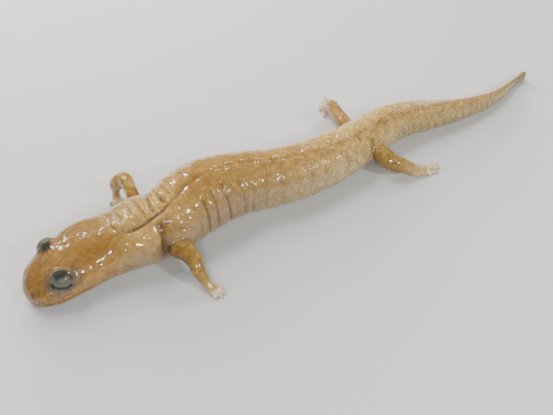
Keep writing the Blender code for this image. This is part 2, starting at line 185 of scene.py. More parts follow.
# the blunt ends: how long each is, and how round (2 is a circle's shape, and more is squarer)
SNOUT_PLAN = (8.0, 2.4)
SNOUT_TOP = (8.0, 2.0)
SNOUT_CHIN = (3.2, 2.5)
TAIL_TIP = (0.7, 2.5)
SQUARE_HEAD = (-70, -62)  # the sections stand square to X in front, and to the body's line behind
BODY_RINGS = 420
BODY_SIDES = 96
END_GAP = 0.01
SNOUT_PARTS = 12  # one part in this many of the rings is crowded together at the snout's end


class Curve:
    """A smooth curve through rows of values, one row at each place."""

    def __init__(self, rows):
        table = np.array(rows, float)
        self.places = table[:, 0]
        self.rows = table[:, 1:]
        self.slopes = np.gradient(self.rows, self.places, axis=0)

    def at(self, place):
        """The row of values at each place."""
        place = np.clip(np.atleast_1d(place), self.places[0], self.places[-1])
        k = np.clip(np.searchsorted(self.places, place) - 1, 0, len(self.places) - 2)
        gap = (self.places[k + 1] - self.places[k])[:, None]
        t = (place[:, None] - self.places[k][:, None]) / gap
        ease = 3 * t**2 - 2 * t**3
        leave = (t**3 - 2 * t**2 + t) * gap
        arrive = (t**3 - t**2) * gap
        start, stop = self.rows[k], self.rows[k + 1]
        return start + (stop - start) * ease + self.slopes[k] * leave + self.slopes[k + 1] * arrive

    def slope(self, place, step=0.05):
        """How quickly each value changes at each place."""
        before = np.maximum(np.atleast_1d(place) - step, self.places[0])
        after = np.minimum(np.atleast_1d(place) + step, self.places[-1])
        return (self.at(after) - self.at(before)) / (after - before)[:, None]


BODY = Curve(STATIONS)
TURN = Curve(BACK_TURN)


def blunt(distance, end):
    """The share of its full size that a blunt end has at a distance from its tip."""
    length, roundness = end
    t = 1 - np.clip(distance / length, 0, 1)
    return (1 - t**roundness) ** (1 / roundness)


def signed_power(value, power):
    """A power of a value's size, with the value's own sign."""
    return np.sign(value) * np.abs(value) ** power


def tube(rings, sides, place):
    """A closed tube: a cylinder cut into rings, with place(ring, angle) giving all of its points at once."""
    bm = bmesh.new()
    bmesh.ops.create_cone(bm, cap_ends=True, segments=sides, radius1=1, radius2=1, depth=1)
    lengthwise = [e for e in bm.edges if abs(e.verts[0].co.z - e.verts[1].co.z) > 0.5]
    bmesh.ops.subdivide_edges(bm, edges=lengthwise, cuts=rings - 2, use_grid_fill=True)
    plain = np.array([v.co[:] for v in bm.verts])
    ring = np.round((plain[:, 2] + 0.5) * (rings - 1))
    points = place(ring, np.arctan2(plain[:, 1], plain[:, 0]))
    for vert, point in zip(bm.verts, points):
        vert.co = point
    return bm


def rise(low, high, value):
    """0 below low, 1 above high, and a smooth rise between them."""
    t = np.clip((value - low) / (high - low), 0, 1)
    return t * t * (3 - 2 * t)


def body_slope(x):
    """How far the sections of the body are turned from square to X, as a slope."""
    return BODY.slope(x)[:, 0] * rise(*SQUARE_HEAD, x)


def body_section(x):
    """Half width, height over and depth under the widest line, and fullness, at places along the body."""
    middle, width, height, level, fullness = BODY.at(x).T
    nose = np.atleast_1d(x) - SNOUT_X
    tip = blunt(TAIL_END_X - np.atleast_1d(x), TAIL_TIP)
    half = width / 2 * blunt(nose, SNOUT_PLAN) * tip
    over = (height - level) * blunt(nose, SNOUT_TOP) * tip
    under = (level + BELLY_SINK) * blunt(nose, SNOUT_CHIN) * tip
    return middle, half, over, under, level, fullness


def body_points(x, angle):
    """Points of the body's smooth form; an angle of 0 is its right side, and 90 degrees its back."""
    middle, half, over, under, level, fullness = body_section(x)
    turned = angle + np.radians(TURN.at(x)[:, 0]) * np.maximum(0, np.sin(angle))
    side, lift = np.cos(turned), np.sin(turned)
    across = signed_power(side, 2 / fullness) * half
    up = signed_power(lift, 2 / fullness) * np.where(lift > 0, over, under)
    slope = body_slope(x)
    length = np.hypot(slope, 1)
    return np.stack([x - slope / length * across, middle + across / length, level + up], axis=1)


def body_place(ring, angle):
    """Points of the body's rings, which are closest together at the snout's end."""
    part = ring / (BODY_RINGS - 1) * SNOUT_PARTS
    first, last = SNOUT_X + END_GAP, TAIL_END_X - END_GAP
    near_snout = 1 - np.cos(np.minimum(part, 1) * math.pi / 2)
    spread = np.where(part < 1, near_snout, 1 + (part - 1) * math.pi / 2)
    full = 1 + (SNOUT_PARTS - 1) * math.pi / 2
    return body_points(first + (last - first) * spread / full, angle)


flesh = [add_piece("body_flesh", tube(BODY_RINGS, BODY_SIDES, body_place))]


# Legs: short fleshy limbs, set low on the flanks. The right foreleg is raised at the elbow in an
# upside-down U, and the left legs lie stretched out to the side.
LEGS = {
    # points from inside the body to the wrist or ankle (x, y, z), each with the radius there, or with its
    # half width and half height
    "foreleg_left": (
        (-43.2, -4.8, 6.0, 3.2, 2.5),
        (-43.6, -9.3, 5.6, 3.3, 2.4),
        (-42.9, -12.4, 5.6, 2.1, 2.0),
        (-42.5, -15.0, 5.1, 1.8),
        (-42.6, -17.0, 3.5, 1.5),
        (-42.1, -19.0, 1.9, 1.0),
    ),
    "foreleg_right": (
        (-46.2, 0.2, 5.8, 1.8),
        (-46.6, 5.6, 6.4, 1.6),
        (-46.4, 10.2, 7.4, 1.5),
        (-46.2, 14.0, 7.2, 1.85),
        (-47.7, 16.4, 5.0, 1.8),
        (-48.2, 17.1, 2.2, 1.05),
    ),
    "hindleg_left": (
        (11.3, -2.3, 5.4, 2.4),
        (12.6, -7.6, 5.2, 2.4),
        (13.0, -10.2, 4.7, 2.35),
        (14.2, -12.1, 4.0, 2.2),
        (16.4, -13.5, 3.0, 1.9),
        (18.3, -14.4, 2.1, 1.5),
    ),
    "hindleg_right": (
        (11.1, 0.7, 5.6, 2.1),
        (11.7, 6.0, 5.9, 2.0),
        (12.5, 10.4, 5.8, 1.85),
        (13.9, 14.2, 5.0, 1.85),
        (14.7, 16.2, 3.3, 1.7),
        (14.9, 17.5, 2.2, 1.45),
    ),
}
LEG_MESH = (32, 40)  # sides and rings
TIP_CROWDING = 1.6  # how much closer together the rings of a toe stand towards its tip
TIP_ROUND = (1.0, 2.0)
TIP_LEAST = 0.02


def swept(rows, sides, rings, tip=0.0):
    """A tube along a smooth curve through rows (x, y, z, half width, half height). Where tip is given, that
    share of its length is rounded off at its end."""
    rows = [row if len(row) == 5 else (*row, row[3]) for row in rows]
    path = Curve([(step, *row) for step, row in enumerate(rows)])
    last = len(rows) - 1

    def place(ring, angle):
        share = ring / (rings - 1)
        if tip:
            share = 1 - (1 - share) ** TIP_CROWDING
        here = path.at(share * last)
        ahead = path.slope(share * last)[:, :3]
        ahead /= np.linalg.norm(ahead, axis=1)[:, None]
        out = np.cross(ahead, (0, 0, 1))
        out /= np.linalg.norm(out, axis=1)[:, None]
        up = np.cross(out, ahead)
        size = blunt((1 - share) / tip + TIP_LEAST, TIP_ROUND) if tip else np.ones_like(share)
        wide = out * (np.cos(angle) * here[:, 3])[:, None]
        high = up * (np.sin(angle) * here[:, 4])[:, None]
        return here[:, :3] + (wide + high) * size[:, None]

    return tube(rings, sides, place)


for leg_name, leg_rows in LEGS.items():
    flesh.append(add_piece(leg_name + "_flesh", swept(leg_rows, *LEG_MESH)))


# Feet: a low soft palm on the end of each leg, with four toes in front and five behind. The toes are
# short, round and blunt, spread flat on the floor.
FEET = {
    # leg, way the foot points in the floor plane (degrees from +X), length and half width of the palm,
    # then the toes from the first to the last: way each points, and its length beyond the palm
    "forefoot_left": ("foreleg_left", -55, 1.7, 1.15, ((-106, 1.5), (-74, 2.1), (-44, 2.2), (-10, 1.6))),
    "forefoot_right": ("foreleg_right", -110, 1.7, 1.15, ((-62, 1.5), (-94, 2.1), (-125, 2.2), (-159, 1.6))),
    "hindfoot_left": (
        "hindleg_left", -15, 3.4, 1.8,
        ((40, 1.5), (0, 4.8), (-13, 4.6), (-34, 3.4), (-54, 1.7)),
    ),
    "hindfoot_right": (
        "hindleg_right", 72, 3.0, 1.6,
        ((230, 3.1), (165, 0.9), (120, 1.0), (86, 1.6), (54, 4.5)),
    ),
}
PALM_HEIGHT = 0.95
PALM_LEVEL = 0.85  # height of the palm's middle, as a share of the palm's height
ANKLE_LENGTH = 1.3
ANKLE_SHARES = (-0.5, 0.5, 1)
ANKLE_TAPER = 0.15
HEEL_DROP = 0.7
TOES_AHEAD = 0.6  # where the toes fan out from, as a share of the palm's length
TOES_OUT = 0.75  # where each toe starts from there, as a share of the palm's half width
TOE_TIP = 0.12
ANKLE_MESH = (24, 12)  # sides and rings
PALM_MESH = (24, 24)
TOE_MESH = (16, 20)
# Along the palm: share of its length, of its half width and of its height
PALM_PROFILE = ((-0.25, 0.45, 0.5), (0.1, 0.8, 0.9), (0.5, 1.0, 1.0), (0.95, 0.8, 0.7), (1.2, 0.35, 0.35))
# Along a toe: share of its length, height of its middle, and radius
TOE_PROFILE = ((-0.35, 0.62, 0.45), (0.2, 0.72, 0.45), (0.65, 0.5, 0.4), (1.0, 0.34, 0.36))
toe_tips = []
palms = []


def heading(degrees):
    """A way along the floor."""
    return Vector((math.cos(math.radians(degrees)), math.sin(math.radians(degrees)), 0))


for foot_name, (leg_name, way, length, half_width, toes) in FEET.items():
    before, joint = (Vector(row[:3]) for row in LEGS[leg_name][-2:])
    wrist_radius = LEGS[leg_name][-1][3]
    down = (joint - before).normalized()
    ankle_end = joint + down * min(ANKLE_LENGTH, (joint.z - PALM_HEIGHT / 2) / -down.z)
    ankle_rows = []
    for share in ANKLE_SHARES:
        ankle_rows.append((*joint.lerp(ankle_end, share), wrist_radius * (1 - ANKLE_TAPER * share)))
    flesh.append(add_piece(foot_name + "_ankle", swept(ankle_rows, *ANKLE_MESH)))
    heel = joint + down * HEEL_DROP
    level = PALM_HEIGHT * PALM_LEVEL
    palm_rows = []
    for share, wide, high in PALM_PROFILE:
        point = heel + heading(way) * length * share
        palm_rows.append((point.x, point.y, level, half_width * wide, PALM_HEIGHT * high))
    flesh.append(add_piece(foot_name + "_palm", swept(palm_rows, *PALM_MESH)))
    middle = Vector((heel.x, heel.y, 0)) + heading(way) * length * TOES_AHEAD
    palms.append((*middle, half_width))
    for toe_way, toe_length in toes:
        base = middle + heading(toe_way) * half_width * TOES_OUT
        toe_rows = []
        for share, high, radius in TOE_PROFILE:
            point = base + heading(toe_way) * toe_length * share
            toe_rows.append((point.x, point.y, high, radius))
        toe_tips.append((toe_rows[0][:3], toe_rows[-1][:3]))
        flesh.append(add_piece(foot_name + "_toe", swept(toe_rows, *TOE_MESH, tip=TOE_TIP)))


# Skin: one thin moist skin without scales over all of the flesh, with no seam. It is drawn smoothly
# over the roots of the legs, and flat where the chin, belly, feet and tail lie on the floor.
SKIN_CELL = 0.29
EVENING_ROUNDS = 10
EVENING_STEPS = (0.5, -0.52)  # one step in and one step out, which keeps the skin from shrinking
ROOT_ROUNDS = 14
ROOT_SPREAD = 6
ROOT_EVENING = 0.6
ROOT_SPAN = (0.02, 0.25, 1.0, 1.9)  # how far outside of the body's form a leg's root is
ROOT_START = (-60, -50)  # only behind the head, so that the eyes' swellings stay
PLACE_ROUNDS = 3
TURN_ROUNDS = 4
LEAST_SIZE = 0.3
LEAST_SHARE = 0.05

skin = flesh[0]
skin.name = "skin"
skin.data.name = "skin"
joined = bmesh.new()
for piece in flesh:
    joined.from_mesh(piece.data)
for piece in flesh[1:]:
    shape = piece.data
    bpy.data.objects.remove(piece)
    bpy.data.meshes.remove(shape)
joined.to_mesh(skin.data)
joined.free()
fuse = skin.modifiers.new("fuse", "REMESH")
fuse.mode = "VOXEL"
fuse.voxel_size = SKIN_CELL
fused = bpy.data.meshes.new_from_object(skin.evaluated_get(bpy.context.evaluated_depsgraph_get()))
skin.modifiers.clear()
skin.data = fused


def read_points(mesh):
    """A mesh's points, one row each."""
    points = np.empty(len(mesh.vertices) * 3)
    mesh.vertices.foreach_get("co", points)
    return points.reshape(-1, 3)


def write_points(mesh, points):
    """Moves a mesh's points."""
    mesh.vertices.foreach_set("co", points.ravel())
    mesh.update()


def read_normals(mesh):
    """The way out of the mesh at each point."""
    normals = np.empty(len(mesh.vertices) * 3)
    mesh.vertex_normals.foreach_get("vector", normals)
    return normals.reshape(-1, 3)


def read_edges(mesh):
    """The two points that each edge joins."""
    edges = np.empty(len(mesh.edges) * 2, np.int64)
    mesh.edges.foreach_get("vertices", edges)
    return edges.reshape(-1, 2)


def evened(points, edges, amount):
    """Each point moved a share of the way to the middle of its neighbours."""
    total = np.zeros_like(points)
    for axis in range(points.shape[1]):
        for here, there in ((0, 1), (1, 0)):
            total[:, axis] += np.bincount(edges[:, here], points[edges[:, there], axis], len(points))
    count = np.bincount(edges.ravel(), minlength=len(points))
    return points + (total / count[:, None] - points) * amount


def path_distance(points, path):
    """How far each point is from a line of straight lengths, and how far along it, from 0 to 1."""
    path = np.array(path, float)
    nearest = np.full(len(points), np.inf)
    along = np.zeros(len(points))
    for k, (start, stop) in enumerate(zip(path[:-1], path[1:])):
        way = stop - start
        t = np.clip((points - start) @ way / (way @ way), 0, 1)
        away = np.linalg.norm(points - start - t[:, None] * way, axis=1)
        closer = away < nearest
        nearest[closer] = away[closer]
        along[closer] = (k + t[closer]) / (len(path) - 1)
    return nearest, along


def body_place_of(points):
    """Where points lie on the body: place along X, angle from the line of the back in degrees (the left
    side is over 0), and how far outside of the body's smooth form they are."""
    x = points[:, 0].copy()
    for _ in range(PLACE_ROUNDS):
        middle = BODY.at(x)[:, 0]
        slope = body_slope(x)
        x = points[:, 0] + slope * (points[:, 1] - middle) / (1 + slope**2)
    middle, half, over, under, level, fullness = body_section(x)
    half, over, under = (np.maximum(size, LEAST_SIZE) for size in (half, over, under))
    across = (points[:, 1] - middle) / np.cos(np.arctan(body_slope(x)))
    up = points[:, 2] - level
    u = across / half
    v = up / np.where(up > 0, over, under)
    turned = np.arctan2(signed_power(v, fullness / 2), signed_power(u, fullness / 2))
    angle = turned.copy()
    for _ in range(TURN_ROUNDS):
        angle = turned - np.radians(TURN.at(x)[:, 0]) * np.maximum(0, np.sin(angle))
    from_back = np.degrees(angle) - 90
    from_back = (from_back + 180) % 360 - 180
    size = (np.abs(u) ** fullness + np.abs(v) ** fullness) ** (1 / fullness)
    outside = np.hypot(across, up) * (1 - 1 / np.maximum(size, LEAST_SHARE))
    return x, from_back, outside


def span(start, full, wane, end, value):
    """1 between full and wane, 0 before start and after end, and smooth slopes between them."""
    return rise(start, full, value) * (1 - rise(wane, end, value))


points = read_points(skin.data)
edges = read_edges(skin.data)
for _ in range(EVENING_ROUNDS):
    for amount in EVENING_STEPS:
        points = evened(points, edges, amount)
_, _, outside = body_place_of(points)
near_root = span(*ROOT_SPAN, outside) * rise(*ROOT_START, points[:, 0])
for _ in range(ROOT_SPREAD):
    near_root = np.maximum(near_root, evened(near_root[:, None], edges, 1.0)[:, 0])
for _ in range(ROOT_ROUNDS):
    softer = evened(points, edges, ROOT_EVENING)
    points += (softer - points) * near_root[:, None]
points[:, 2] = np.maximum(points[:, 2], 0)
write_points(skin.data, points)


# Folds: grooves between the ribs, the furrow of the back with its fold over the neck, the throat
# fold, the wrinkles of the shoulders, the mouth, the nostrils and the lids, all pressed into the skin, with
# shade painted dark into them. The snout's own brown flecks share that painted shade's mask.
GROOVES = (
    # place along X, depth, darkness of the shade painted in it, and where it starts, in degrees from the
    # line of the back
    (-39.8, 0.20, 0.30, 44),
    (-36.95, 0.46, 1.0, 32),
    (-33.7, 0.40, 0.9, 26),
    (-30.0, 0.42, 0.95, 20),
    (-27.7, 0.14, 0.15, 34),
    (-25.3, 0.30, 0.5, 36),
    (-22.2, 0.24, 0.25, 26),
    (-18.7, 0.22, 0.2, 22),
    (-15.2, 0.22, 0.2, 18),
    (-11.8, 0.20, 0.15, 18),
    (-8.5, 0.18, 0.15, 20),
    (-5.2, 0.16, 0.12, 22),
    (-1.9, 0.15, 0.12, 24),
    (1.3, 0.14, 0.12, 26),
    (4.4, 0.13, 0.12, 28),
    (7.4, 0.12, 0.12, 30),
)
GROOVE_WIDTH = 0.30
GROOVE_HOLLOW = (0.95, 0.38)  # half width of the soft hollow round a groove, and its share of the depth
GROOVE_DARK = (0.27, 0.85, 0.10)  # half widths of the painted shade's dark line and of the soft painted shade beside it, and that one's share
GROOVE_SWAY = (0.25, 2.2)  # how far a groove sways along the body, and how quickly round it
GROOVE_START = (-8, 12)  # degrees before and after its start over which a groove deepens
GROOVE_END = (135, 155)  # degrees from the line of the back where the grooves run out on the belly
FAR_SHARE = 0.45  # how strong the grooves are on the right side
CREST = (0.42, 0.14)  # half width and height of the crest between two grooves
CREST_SWAY = (0.35, 0.22)
CREST_SPAN = (12, 24, 55, 80)  # degrees from the line of the back
FURROW_MIDDLE = -1
FURROW = (3, 0.08)  # half width in degrees, and depth
FURROW_DARK = (2.2, 0.22)  # half width in degrees, and darkness of the shade painted along the furrow
FURROW_SPAN = (-40, -30, 30, 44)
BODY_FOLDS = (0.15, 0.7)  # how far outside of the body's form its folds run out
DEGREE = 0.13  # mm of skin for each degree round the body
HOLLOW_WIDTH = 3  # how much wider than a fold the hollow round it is
FOLD_DARK_WIDTH = 1.1
FOLD_TAPER = 6  # each end of a fold runs out over one part in this many of its length
FOLDS = (
    # places (x, degrees from the back), half width, depth, darkness of the shade painted in it, depth of the
    # hollow on both sides
    (((-53, 4), (-50.8, 3), (-49.6, 2), (-47.5, 2), (-45.2, -1), (-42.6, -4)), 0.36, 0.50, 1.2, 0.34),
    (((-42.6, -4), (-39.7, -6), (-36.7, -5), (-33.9, -3)), 0.45, 0.18, 0.5, 0.22),
    (
        ((-45.9, 10), (-45.7, 19), (-45.6, 35), (-45.6, 57), (-45.7, 79), (-45.9, 97), (-46.4, 135)),
        0.46, 0.66, 1.1, 0.45,
    ),
    (((-46.6, -30), (-46.5, -70), (-46.6, -110), (-46.6, -140)), 0.42, 0.45, 0.8, 0.25),
    (((-45.4, -66), (-45.9, -45), (-46.1, -27), (-46.1, -13), (-45.7, -6)), 0.28, 0.46, 1.1, 0.26),
    (((-43.4, -50), (-43.5, -38), (-43.7, -22), (-43.2, -9)), 0.26, 0.42, 1.0, 0.24),
    (((-49.6, -60), (-49.3, -46), (-48.6, -31), (-48.0, -16), (-47.7, -4)), 0.26, 0.34, 0.8, 0.20),
    (((-47.6, -55), (-47.5, -38), (-47.1, -24), (-46.8, -14)), 0.25, 0.24, 0.5, 0.10),
    (((-41.0, -40), (-41.3, -26), (-41.6, -12)), 0.25, 0.28, 0.6, 0.12),
    (((-44.7, -44), (-44.9, -30), (-44.8, -16)), 0.24, 0.20, 0.4, 0.06),
    (((-51.0, -50), (-50.8, -34), (-50.3, -20)), 0.25, 0.22, 0.4, 0.10),
    (((-39.2, -44), (-39.4, -28), (-39.8, -16)), 0.26, 0.18, 0.35, 0.08),
    (((-56.4, -48), (-55.4, -36), (-54.6, -28), (-54.9, -11), (-54.0, 0)), 0.30, 0.24, 0.3, 0.14),
    (((-53.0, -46), (-53.2, -30), (-52.6, -14)), 0.28, 0.20, 0.3, 0.10),
    (((-44.8, 22), (-43.6, 40), (-43.0, 60)), 0.30, 0.20, 0.4, 0.08),
    (((-41.8, 12), (-42.2, 28), (-42.0, 44)), 0.30, 0.16, 0.3, 0.08),
)
RIDGES = (
    # places (x, degrees from the back), half width, height
    (((-68.2, -9), (-66.3, -9), (-63.8, -17), (-61.8, -23)), 0.36, 0.12),
    (((-64.6, -7), (-63.4, -10), (-62.3, -7), (-62.6, -3)), 0.30, 0.10),
    (((-67.6, 14), (-66.4, 10), (-65.8, 5), (-66.0, 0), (-65.0, 0)), 0.30, 0.11),
    (((-57.6, 40), (-57.2, 44), (-56.6, 56)), 0.30, 0.10),
    (((-60.4, 68), (-58.2, 62)), 0.30, 0.09),
    (((-55.8, 62), (-54.6, 52), (-53.6, 44)), 0.30, 0.11),
    (((-55.2, 33), (-54.9, 31), (-53.4, 27)), 0.45, 0.13),
    (((-52.8, 20), (-51.9, 25), (-51.2, 36), (-49.2, 48)), 0.32, 0.13),
    (((-49.2, 43), (-47.6, 32)), 0.30, 0.12),
    (((-55.2, -28), (-54.9, -17), (-54.4, -11)), 0.30, 0.14),
    (((-54.3, -37), (-53.4, -32), (-52.5, -28)), 0.30, 0.12),
    (((-50.6, -17), (-50.0, -12), (-49.5, -6)), 0.36, 0.14),
    (((-42.9, -8), (-40.5, -9)), 0.30, 0.12),
    (((-41.2, -36), (-41.6, -20)), 0.30, 0.12),
    (((-44.3, 33), (-43.2, 42), (-42.1, 43)), 0.40, 0.16),
    (((-38.4, 22), (-37.8, 32), (-38.2, 50)), 0.36, 0.12),
)
MOUTH_HEIGHT = 2.35
MOUTH_RISE = (3, 10, 0.5)  # where behind the snout's end the mouth line rises, and by how much
MOUTH_DROP = (10, 13, 0.6)  # where its corner drops, and by how much
MOUTH_REACH = (10.1, 12.6)
MOUTH_SKIN = (0.6, 1.2)  # how far outside of the body's form the mouth line runs out
LIP_GAP = (0.2, 0.34)  # half width and depth
LIP_ROLL = (0.55, 0.3, 0.08)  # how far from the mouth line a lip is roundest, its half width and height
NOSTRIL_BACK = 1.5
NOSTRIL_ANGLE = 43
NOSTRIL_PIT = (0.32, 0.45)  # half width and depth
NOSTRIL_RIM = (0.7, 0.25, 0.06)  # how far out it lies, its half width and height
# how far the shade painted in each nostril's pit spreads
NOSTRIL_DARK = 0.34
SNOUT_FLECKS = (
    (-74.6, -4.5, 4.4),
    (-74.4, -5.6, 3.9),
    (-73.2, -6.0, 5.0),
    (-73.9, 3.2, 4.0),
    (-73.2, 3.9, 4.6),
)
FLECK_SPOT = (0.48, 0.9)  # half width and darkness
TAIL_GROOVES = 22
TAIL_GROOVE_PLACES = (20.5, 2.3, 0.2)  # where the first is, the step between them, and how uneven it is
TAIL_GROOVE = (0.32, 0.16, 0.42)  # half width, depth and darkness of the shade painted in it
TAIL_GROOVE_LEAN = (0.02, 60)  # how far a groove leans back for each degree from this one
TAIL_GROOVE_SPAN = (48, 75, 140, 165)  # degrees from the line of the back
TAIL_GROOVE_FADE = (52, 68)
RIPPLE = (1.05, 0.055)  # the step between two fine wrinkles, and their depth
RIPPLE_ALONG = (-24, -12, 40, 60)
RIPPLE_ROUND = (6, 22, 85, 110)
RIPPLE_SWAYS = ((0.35, 0.16, 0.7), (0.2, 0.41, -1.3))  # how far, how quickly round and along the body
RIPPLE_PATCHES = (0.55, 0.45, 0.23, 0.9)  # mean strength, its change, how quickly round and along
ROOT_REACH = (3.2, 4.4)  # how far from the middle of a leg's root its fold reaches
ROOT_FOLD = (0.45, 0.28, 0.16, 0.35)  # how far out it lies, its half width, depth and darkness of the shade painted in it
ROOT_FOLD_BASE = (3.0, 5.0)  # heights over which it runs out towards the belly
UNEVEN = (
    # size of the swellings, how far their pattern is moved, and height
    (2.4, (3, 8, 1), 0.17),
    (1.2, (9, 4, 2), 0.065),
    (0.7, (0, 0, 0), 0.02),
)
UNEVEN_BASE = (0.15, 0.5)  # heights over the floor over which the unevenness sets in
CALM_HEAD = (-60, -54, 0.5)  # places along the body, and how much smoother the skin is there
CALM_TAIL = (20, 40, 0.4)
CALM_LEGS = (0.5, 1.5, 0.4)  # the same, with how far outside of the body's form
MOST_CALM = 0.6
EYE_X = -67.8
EYE_MIDDLE_Y = -0.95
EYE_OFFSET = 4.85
EYE_HEIGHT = 6.1
EYE_RADIUS = 2.4
LID_THICKNESS = 0.14
LID_REACH = (3.6, 4.6)  # distances from an eye's middle over which its lids run out into the head
LID_BLEND = 0.25
LID_FACING = (0.0, 0.3)
LID_COLLAR = (1.02, 1.5)  # how far out from the opening's middle the lids lie on the ball; 1 is their edge
LID_RIM = (1.16, 0.15, 0.07)  # how far out the rim of the lids is, its half width and height
UNDER_BALL = (0.82, 1.04, 0.35)  # where the skin of the opening starts, and its depth under the ball
LID_SLIT = (0.95, 0.06)  # how far out the dark line of painted shade over the lower lid is, and its half width
SLIT_RISE = (-0.6, -1.2)  # heights from the opening's middle over which that line sets in
LOWER_ROUND = 3  # the lower lid's line is squarer than a circle's
LID_TINT = (1.15, 1.75)  # how far out the lids' own colour reaches
LID_TINT_FACING = (-0.1, 0.2)
DARK_REACH = (3.0, 3.8)  # distances from an eye's middle over which its dark fades in the lids
OPENING = (2.25, 1.45, 2.05)  # half its length, and how far it reaches over and under its middle
# where the dark of each eye shows: the way to its middle, half its length along X and half its width
DARK_ZONES = {
    "left": ((-0.10, -0.24, 0.96), 0.80, 0.46),
    "right": ((-0.11, -0.55, 0.82), 0.50, 0.58),
}
GAZE = (-0.15, 0.62, 0.77)
LID_LINE = (0.881, 0.402, -0.152)  # along the right eye's lower lid, towards the rear

points = read_points(skin.data)
normals = read_normals(skin.data)
x, from_back, outside = body_place_of(points)
around = np.abs(from_back)
on_body = 1 - rise(*BODY_FOLDS, outside)
press = np.zeros(len(points))
crease_shade_and_flecks = np.zeros(len(points))
rng = np.random.default_rng(7)


def hump(away, width):
    """1 where away is 0, with a soft fall to both sides."""
    return np.exp(-((away / width) ** 2))


near_side = np.where(from_back > 0, 1.0, FAR_SHARE)
dark_width, halo_width, halo = GROOVE_DARK
for k, (groove_x, depth, dark, top) in enumerate(GROOVES):
    away = x - groove_x - GROOVE_SWAY[0] * np.sin(np.radians(from_back) * GROOVE_SWAY[1] + k)
    reach = span(top + GROOVE_START[0], top + GROOVE_START[1], *GROOVE_END, around) * on_body * near_side
    press += hump(away, GROOVE_WIDTH) * reach * depth
    press += hump(away, GROOVE_HOLLOW[0]) * reach * depth * GROOVE_HOLLOW[1]
    # a dark line of painted shade in each groove, with soft painted shade beside it
    crease_shade_and_flecks += (hump(away, dark_width) + halo * hump(away, halo_width)) * reach * dark
for k, (here, there) in enumerate(zip(GROOVES, GROOVES[1:])):
    away = x - (here[0] + there[0]) / 2 - CREST_SWAY[0] * np.sin(from_back * CREST_SWAY[1] + 2 * k)
    reach = span(*CREST_SPAN, around) * on_body * near_side
    press -= hump(away, CREST[0]) * reach * CREST[1]

along_back = span(*FURROW_SPAN, x) * on_body
press += FURROW[1] * hump(from_back - FURROW_MIDDLE, FURROW[0]) * along_back
# painted shade along the furrow
crease_shade_and_flecks += FURROW_DARK[1] * hump(from_back - FURROW_MIDDLE, FURROW_DARK[0]) * along_back

unrolled = np.stack([x, from_back * DEGREE], axis=1)
for places, half_width, depth, dark, hollow_depth in FOLDS:
    away, along = path_distance(unrolled, [(place, angle * DEGREE) for place, angle in places])
    taper = np.sqrt(np.clip(np.minimum(along, 1 - along) * FOLD_TAPER, 0, 1)) * on_body
    press += hump(away, half_width) * depth * taper
    press += hump(away, half_width * HOLLOW_WIDTH) * hollow_depth * taper
    # painted shade in the fold
    crease_shade_and_flecks += hump(away, half_width * FOLD_DARK_WIDTH) * dark * taper

for places, half_width, height in RIDGES:
    away, _ = path_distance(unrolled, [(place, angle * DEGREE) for place, angle in places])
    press -= hump(away, half_width) * height * on_body

first, step, shift = TAIL_GROOVE_PLACES
half_width, depth, dark = TAIL_GROOVE
lean, upright = TAIL_GROOVE_LEAN
for k in range(TAIL_GROOVES):
    groove_x = first + k * step + rng.uniform(-shift, shift)
    fade = 1 - rise(*TAIL_GROOVE_FADE, groove_x)
    beside = hump(x - groove_x - lean * (around - upright), half_width)
    reach = span(*TAIL_GROOVE_SPAN, around) * fade * on_body
    press += beside * reach * depth
    # painted shade in the groove
    crease_shade_and_flecks += beside * reach * dark

# fine uneven wrinkles across the rear of the back and the tail
wavy = x + sum(sway * np.sin(from_back * turn + x * run) for sway, turn, run in RIPPLE_SWAYS)
ripples = np.cos(2 * np.pi * wavy / RIPPLE[0])
ripple_reach = span(*RIPPLE_ALONG, x) * span(*RIPPLE_ROUND, around)
mean, change, turn, run = RIPPLE_PATCHES
ripple_reach *= mean + change * np.sin(from_back * turn + x * run)
press += RIPPLE[1] * ripples * ripple_reach * on_body

nose = x - SNOUT_X
mouth_z = MOUTH_HEIGHT + MOUTH_RISE[2] * rise(*MOUTH_RISE[:2], nose)
mouth_z -= MOUTH_DROP[2] * rise(*MOUTH_DROP[:2], nose)
mouth = (1 - rise(*MOUTH_REACH, nose)) * (1 - rise(*MOUTH_SKIN, outside))
away = np.abs(points[:, 2] - mouth_z)
roll_away, roll_width, roll_height = LIP_ROLL
press += mouth * (LIP_GAP[1] * hump(away, LIP_GAP[0]) - roll_height * hump(away - roll_away, roll_width))
# painted shade in the gap of the mouth
crease_shade_and_flecks += mouth * hump(away, LIP_GAP[0])

rim_away, rim_width, rim_height = NOSTRIL_RIM
for nostril_angle in (NOSTRIL_ANGLE, 180 - NOSTRIL_ANGLE):
    middle = body_points(np.array([SNOUT_X + NOSTRIL_BACK]), np.radians([nostril_angle]))[0]
    away = np.linalg.norm(points - middle, axis=1)
    press += NOSTRIL_PIT[1] * hump(away, NOSTRIL_PIT[0]) - rim_height * hump(away - rim_away, rim_width)
    # painted shade in the nostril's pit
    crease_shade_and_flecks += hump(away, NOSTRIL_DARK)

# the snout's own brown flecks, kept in one mask with the painted shade
for fleck in SNOUT_FLECKS:
    away = np.linalg.norm(points - np.array(fleck), axis=1)
    crease_shade_and_flecks += FLECK_SPOT[1] * hump(away, FLECK_SPOT[0])

# the fold where each leg leaves the body, with shade painted in it
near_leg = np.zeros(len(points))
for rows in LEGS.values():
    away, _ = path_distance(points, [row[:3] for row in rows[:3]])
    near_leg = np.maximum(near_leg, 1 - rise(*ROOT_REACH, away))
fold_out, fold_width, depth, dark = ROOT_FOLD
root_fold = hump(outside - fold_out, fold_width) * near_leg * rise(*ROOT_FOLD_BASE, points[:, 2])
press += depth * root_fold
crease_shade_and_flecks += dark * root_fold

